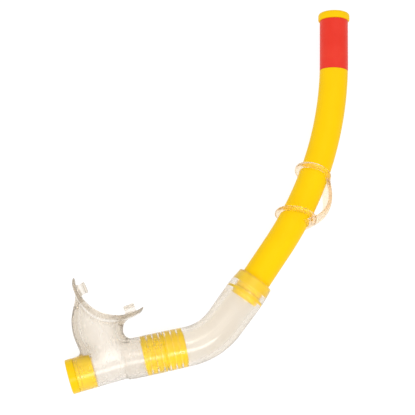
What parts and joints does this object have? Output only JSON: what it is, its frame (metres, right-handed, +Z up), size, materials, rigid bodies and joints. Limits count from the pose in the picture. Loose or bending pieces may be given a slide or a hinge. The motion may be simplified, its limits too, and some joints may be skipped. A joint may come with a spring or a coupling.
{
  "type": "snorkel tube",
  "caption": "J-shaped swimmer's snorkel with a rigid barrel, soft clear elbow, swivelling mouthpiece with a drain valve, and a sliding strap keeper.",
  "frame": {"origin": "on the surface that the snorkel lies on, under the middle of its bounding box", "axes": "+Y up the barrel's straight top end, +Z up out of the surface, +X away from the mouthpiece; all tube centre lines lie in one level plane 16.9 mm above the origin"},
  "size_m": [0.2359, 0.3286, 0.0338],
  "materials": {
    "yellow_shell": "smooth semi-gloss moulded plastic",
    "signal_red": "satin sleeve",
    "clear_keeper": "clear soft silicone",
    "clear_elbow": "clear soft silicone, polished",
    "yellow_insert": "gloss moulded plastic",
    "clear_mouthpiece": "clear soft silicone, polished",
    "flap_silicone": "thin soft silicone"
  },
  "bodies": {
    "barrel": {"barrel": "yellow_shell", "signal_band": "signal_red"},
    "keeper": {"keeper": "clear_keeper"},
    "elbow": {"elbow": "clear_elbow", "coupler": "yellow_insert"},
    "mouthpiece": {"mouthpiece": "clear_mouthpiece", "purge_seat": "yellow_insert", "purge_cover": "yellow_insert"},
    "purge_flap": {"purge_diaphragm": "flap_silicone"}
  },
  "joints": [
    {"name": "keeper_slide", "type": "hinge", "parent": "barrel", "child": "keeper", "pos_m": [-0.19154, 0.12153, 0.0169], "axis": [0, 0, 1], "range_deg": [-4.3, 17.5]},
    {"name": "elbow_twist", "type": "hinge", "parent": "barrel", "child": "elbow", "pos_m": [0.0384, -0.06776, 0.0169], "axis": [-0.5461, -0.8377, 0], "continuous": true},
    {"name": "mouthpiece_swivel", "type": "hinge", "parent": "elbow", "child": "mouthpiece", "pos_m": [-0.03615, -0.12887, 0.0169], "axis": [-0.9732, -0.23, 0], "continuous": true},
    {"name": "purge_lift", "type": "slide", "parent": "mouthpiece", "child": "purge_flap", "axis": [-0.9558, -0.294, 0], "range_m": [0, 0.0012], "stiffness_N_per_m": 40}
  ]
}
